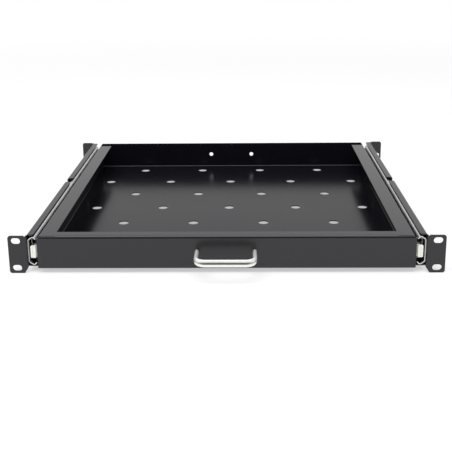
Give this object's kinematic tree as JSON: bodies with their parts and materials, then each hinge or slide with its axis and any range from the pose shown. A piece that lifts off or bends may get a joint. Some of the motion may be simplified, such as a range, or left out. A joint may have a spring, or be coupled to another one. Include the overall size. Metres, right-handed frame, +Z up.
{
  "type": "pull-out rack shelf",
  "caption": "Sliding perforated tray with folded rim and bow handle, on telescopic ball slides between adjustable ear brackets for a 19-inch rack.",
  "frame": {"origin": "centre of the front ear slot pattern, on the rear (mounting) face of the front ears", "axes": "+X to the right seen from the front, +Y into the rack, +Z up; the tray pulls out along -Y"},
  "size_m": [0.4826, 0.4469, 0.044],
  "materials": {
    "tray_paint": "fine satin powder coat",
    "bracket_paint": "fine satin powder coat",
    "handle_chrome": "polished chrome plate",
    "slide_steel": "bright zinc-plated rolled steel",
    "cage_steel": "plain strip steel",
    "ball_steel": "polished bearing steel",
    "bumper_plastic": "off-white moulded plastic",
    "buffer_plastic": "black moulded plastic",
    "screw_black": "black-finished steel",
    "screw_zinc": "zinc-plated steel"
  },
  "bodies": {
    "rails": {"front_bracket_left": "bracket_paint", "front_bracket_right": "bracket_paint", "rear_bracket_left": "bracket_paint", "rear_bracket_right": "bracket_paint", "slide_outer_left": "slide_steel", "slide_outer_right": "slide_steel", "rear_buffer_left": "buffer_plastic", "rear_buffer_right": "buffer_plastic", "front_bracket_screws_left": "screw_black", "front_bracket_screws_right": "screw_black", "rear_bracket_screws_left": "screw_black", "rear_bracket_screws_right": "screw_black"},
    "tray": {"tray_pan": "tray_paint", "front_fascia": "tray_paint", "pull_handle": "handle_chrome", "handle_screws": "screw_zinc", "slide_inner_left": "slide_steel", "slide_inner_right": "slide_steel", "front_bumper_left": "bumper_plastic", "front_bumper_right": "bumper_plastic", "tray_screws_left": "screw_zinc", "tray_screws_right": "screw_zinc"},
    "slide_middle_left": {"slide_middle_left": "slide_steel"},
    "outer_cage_left": {"ball_cage_outer_left": "cage_steel", "balls_outer_left": "ball_steel"},
    "inner_cage_left": {"ball_cage_inner_left": "cage_steel", "balls_inner_left": "ball_steel"},
    "slide_middle_right": {"slide_middle_right": "slide_steel"},
    "outer_cage_right": {"ball_cage_outer_right": "cage_steel", "balls_outer_right": "ball_steel"},
    "inner_cage_right": {"ball_cage_inner_right": "cage_steel", "balls_inner_right": "ball_steel"}
  },
  "joints": [
    {"name": "tray_slide", "type": "slide", "parent": "rails", "child": "tray", "axis": [0, -1, 0], "range_m": [0, 0.4]},
    {"name": "slide_middle_left_slide", "type": "slide", "parent": "rails", "child": "slide_middle_left", "axis": [0, -1, 0], "range_m": [0, 0.2]},
    {"name": "outer_cage_left_slide", "type": "slide", "parent": "rails", "child": "outer_cage_left", "axis": [0, -1, 0], "range_m": [0, 0.1]},
    {"name": "inner_cage_left_slide", "type": "slide", "parent": "rails", "child": "inner_cage_left", "axis": [0, -1, 0], "range_m": [0, 0.3]},
    {"name": "slide_middle_right_slide", "type": "slide", "parent": "rails", "child": "slide_middle_right", "axis": [0, -1, 0], "range_m": [0, 0.2]},
    {"name": "outer_cage_right_slide", "type": "slide", "parent": "rails", "child": "outer_cage_right", "axis": [0, -1, 0], "range_m": [0, 0.1]},
    {"name": "inner_cage_right_slide", "type": "slide", "parent": "rails", "child": "inner_cage_right", "axis": [0, -1, 0], "range_m": [0, 0.3]}
  ],
  "couplings": [
    {"joint": "slide_middle_left_slide", "follows": "tray_slide", "ratio": 0.5},
    {"joint": "outer_cage_left_slide", "follows": "tray_slide", "ratio": 0.25},
    {"joint": "inner_cage_left_slide", "follows": "tray_slide", "ratio": 0.75},
    {"joint": "slide_middle_right_slide", "follows": "tray_slide", "ratio": 0.5},
    {"joint": "outer_cage_right_slide", "follows": "tray_slide", "ratio": 0.25},
    {"joint": "inner_cage_right_slide", "follows": "tray_slide", "ratio": 0.75}
  ]
}
